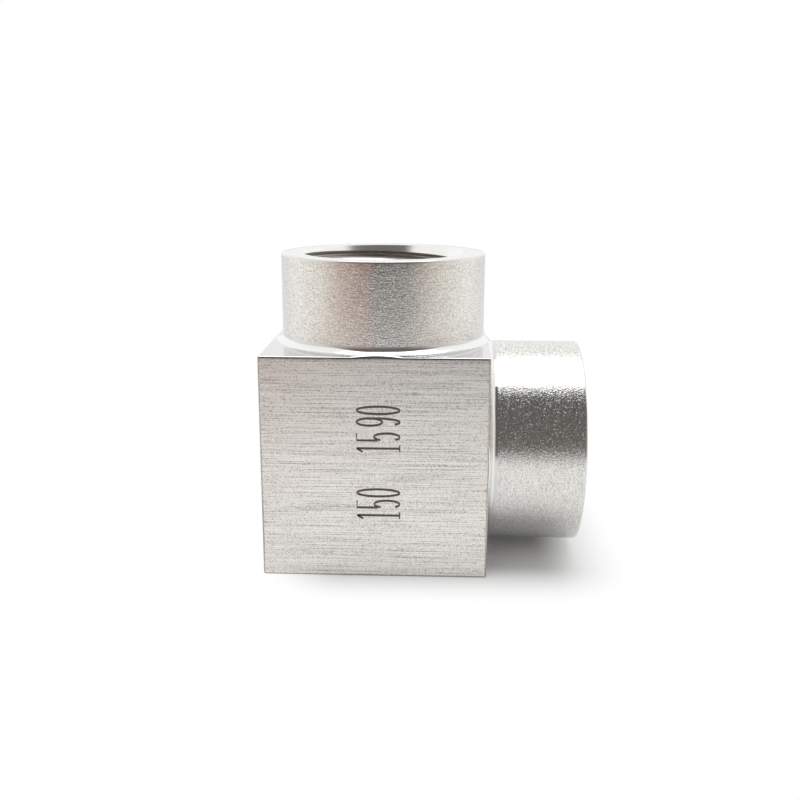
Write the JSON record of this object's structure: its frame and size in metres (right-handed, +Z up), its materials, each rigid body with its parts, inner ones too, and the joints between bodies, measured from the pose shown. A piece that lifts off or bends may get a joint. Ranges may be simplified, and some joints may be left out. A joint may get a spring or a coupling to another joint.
{
  "type": "female threaded elbow",
  "caption": "Right-angle pipe elbow machined from a square steel block, with a round hub and an internally threaded socket on each port.",
  "frame": {"origin": "centre of the block's bottom face, on which the elbow stands", "axes": "+Z up along the top socket, +X out along the side socket, +Y towards the back"},
  "size_m": [0.04, 0.028, 0.0392],
  "materials": {
    "stainless_steel": "brushed flats, satin turned hubs"
  },
  "bodies": {
    "root": {"elbow_body": "stainless_steel"}
  },
  "joints": []
}
